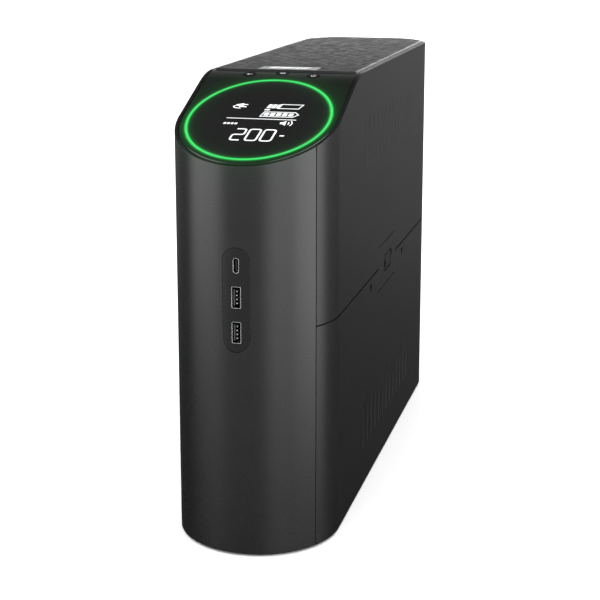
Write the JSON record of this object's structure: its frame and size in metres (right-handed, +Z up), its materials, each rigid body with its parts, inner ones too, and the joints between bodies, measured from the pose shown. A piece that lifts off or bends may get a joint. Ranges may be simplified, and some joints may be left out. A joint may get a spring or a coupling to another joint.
{
  "type": "uninterruptible power supply",
  "caption": "Slim tower uninterruptible power supply with a round lit display, front charging ports, rear sockets and a side battery door.",
  "frame": {"origin": "on the ground under the middle of the case", "axes": "+Z up, -Y towards the display end, +Y towards the sockets, +X towards the battery door"},
  "size_m": [0.109, 0.411, 0.304],
  "materials": {
    "casing_front": "fine satin moulded plastic, dark grey",
    "casing_side": "fine spark-eroded grain, dark grey",
    "top_texture": "moulded wavy relief, dark grey",
    "gloss_black": "polished black",
    "glow_green": "lit green light guide",
    "lcd": "dark display glass",
    "button_plastic": "satin black",
    "port_black": "fine matt black",
    "port_metal": "nickel-plated shell",
    "badge_metal": "brushed plate",
    "rear_plastic": "matt black",
    "socket_plastic": "satin black",
    "screw_steel": "black-zinc",
    "contact_metal": "nickel plate",
    "rubber": "matt",
    "circuit_board": "green solder mask",
    "battery_case": "moulded battery case",
    "sleeve": "white film sleeve",
    "lead_red": "insulation",
    "lead_black": "insulation",
    "core_steel": "varnished laminations",
    "coil_tape": "yellow tape",
    "copper_wire": "enamelled copper",
    "heat_sink": "extruded",
    "capacitor_sleeve": "shrink sleeve",
    "fan_plastic": "black"
  },
  "bodies": {
    "casing": {"base_pan": "rear_plastic", "foot_front_left": "rubber", "foot_front_right": "rubber", "foot_rear_left": "rubber", "foot_rear_right": "rubber", "front_cover": "casing_front", "upper_housing": "casing_side", "lower_housing": "casing_side", "top_cover": "top_texture", "top_badge": "badge_metal", "display_bezel": "gloss_black", "light_ring": "glow_green", "display_window": "gloss_black", "lcd_module": "lcd", "display_board": "circuit_board", "port_insert": "port_black", "usb_c_port": "port_metal", "usb_a_port_upper": "port_metal", "usb_a_port_lower": "port_metal", "usb_board": "circuit_board", "panel_frame": "rear_plastic", "inlet_plate": "rear_plastic", "socket_plate": "rear_plastic", "connector_plate": "rear_plastic", "panel_screw_1": "screw_steel", "panel_screw_2": "screw_steel", "panel_screw_3": "screw_steel", "panel_screw_4": "screw_steel", "outlet_strip_left": "socket_plastic", "outlet_strip_right": "socket_plastic", "power_inlet": "socket_plastic", "inlet_contacts": "contact_metal", "breaker_body": "socket_plastic", "data_port": "socket_plastic", "network_port": "socket_plastic", "coax_in": "contact_metal", "coax_out": "contact_metal", "battery_contacts": "port_black", "battery_lead_red": "lead_red", "battery_lead_black": "lead_black", "transformer_core": "core_steel", "transformer_coil": "coil_tape", "transformer_bracket": "core_steel", "mid_deck": "rear_plastic", "main_board": "circuit_board", "heat_sink": "heat_sink", "capacitor": "capacitor_sleeve", "choke": "copper_wire", "buzzer": "socket_plastic", "fan_frame": "fan_plastic"},
    "battery_pack": {"battery_lower": "battery_case", "battery_upper": "battery_case", "battery_sleeve": "sleeve"},
    "door": {"battery_door": "casing_side"},
    "latch": {"door_latch": "casing_side"},
    "mute": {"mute_button": "button_plastic"},
    "menu": {"menu_button": "button_plastic"},
    "power": {"power_button": "button_plastic"},
    "breaker": {"breaker_button": "button_plastic"},
    "rotor": {"fan_rotor": "fan_plastic"}
  },
  "joints": [
    {"name": "battery_slide", "type": "slide", "parent": "casing", "child": "battery_pack", "axis": [1, 0, 0], "range_m": [0, 0.104]},
    {"name": "door_removal", "type": "slide", "parent": "casing", "child": "door", "axis": [1, 0, 0], "range_m": [0, 0.1145]},
    {"name": "latch_press", "type": "slide", "parent": "door", "child": "latch", "axis": [-1, 0, 0], "range_m": [0, 0.002], "stiffness_N_per_m": 1500},
    {"name": "mute_press", "type": "slide", "parent": "casing", "child": "mute", "axis": [0, 0.2144, -0.9768], "range_m": [0, 0.0012], "stiffness_N_per_m": 500},
    {"name": "menu_press", "type": "slide", "parent": "casing", "child": "menu", "axis": [0, 0.1572, -0.9876], "range_m": [0, 0.0012], "stiffness_N_per_m": 500},
    {"name": "power_press", "type": "slide", "parent": "casing", "child": "power", "axis": [0, 0.2144, -0.9768], "range_m": [0, 0.0012], "stiffness_N_per_m": 500},
    {"name": "breaker_reset", "type": "slide", "parent": "casing", "child": "breaker", "axis": [0, 1, 0], "range_m": [0, 0.004]},
    {"name": "fan_spin", "type": "hinge", "parent": "casing", "child": "rotor", "pos_m": [0.033, 0.072, 0.24], "axis": [1, 0, 0], "continuous": true}
  ],
  "couplings": [
    {"joint": "door_removal", "follows": "battery_slide", "ratio": 1.1}
  ]
}
